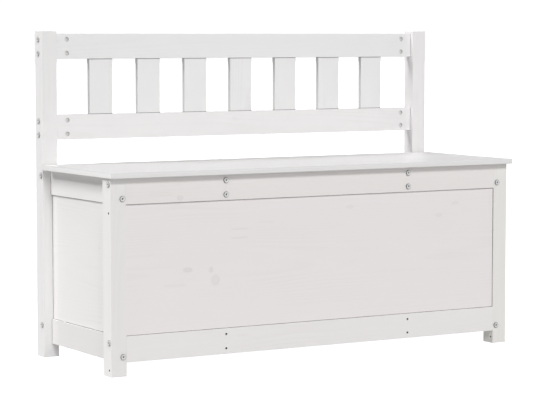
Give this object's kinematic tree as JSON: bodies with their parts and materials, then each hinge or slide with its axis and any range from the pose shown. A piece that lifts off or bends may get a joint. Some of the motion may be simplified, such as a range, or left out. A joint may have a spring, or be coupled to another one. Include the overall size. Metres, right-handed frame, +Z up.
{
  "type": "storage bench",
  "caption": "White painted wooden storage bench: a panelled box on square posts, a slatted backrest with rails between tall back posts, and a hinged lid as the seat.",
  "frame": {"origin": "on the floor, under the middle of the bench's bounding box", "axes": "+X to the right seen from the front, +Y to the back, +Z up"},
  "size_m": [1.082, 0.4034, 0.755],
  "materials": {
    "white_paint": "satin white paint on pine, faint grain and knots",
    "panel_paint": "satin white paint on pine boards, grain along the board",
    "steel": "zinc-plated, dull",
    "beech": "bare turned beech"
  },
  "bodies": {
    "frame": {"front_left_post": "white_paint", "front_right_post": "white_paint", "back_left_post": "white_paint", "back_right_post": "white_paint", "front_top_rail": "white_paint", "front_bottom_rail": "white_paint", "back_top_rail": "white_paint", "back_bottom_rail": "white_paint", "left_top_rail": "white_paint", "left_bottom_rail": "white_paint", "right_top_rail": "white_paint", "right_bottom_rail": "white_paint", "front_panel": "panel_paint", "back_panel": "panel_paint", "left_panel": "panel_paint", "right_panel": "panel_paint", "seat_bearer_left": "white_paint", "seat_bearer_right": "white_paint", "floor_bearer_left": "white_paint", "floor_bearer_right": "white_paint", "floor_board": "panel_paint", "backrest_top_rail": "white_paint", "backrest_lower_rail": "white_paint", "backrest_slat_1": "white_paint", "backrest_slat_2": "white_paint", "backrest_slat_3": "white_paint", "backrest_slat_4": "white_paint", "backrest_slat_5": "white_paint", "backrest_slat_6": "white_paint", "backrest_slat_7": "white_paint", "hinge_left_frame_leaf": "steel", "hinge_left_pin": "steel", "hinge_right_frame_leaf": "steel", "hinge_right_pin": "steel", "post_bolts": "steel", "post_barrel_nuts": "steel", "bearer_bolts": "steel", "bearer_barrel_nuts": "steel", "rail_dowels": "beech", "floor_bearer_screws": "steel", "floor_screws": "steel", "hinge_frame_screws": "steel"},
    "lid": {"lid_board": "white_paint", "lid_batten_left": "white_paint", "lid_batten_right": "white_paint", "hinge_left_lid_leaf": "steel", "hinge_right_lid_leaf": "steel", "batten_screws": "steel", "hinge_lid_screws": "steel"}
  },
  "joints": [
    {"name": "lid_hinge", "type": "hinge", "parent": "frame", "child": "lid", "pos_m": [0, 0.15815, 0.4453], "axis": [-1, 0, 0], "range_deg": [0, 90]}
  ]
}
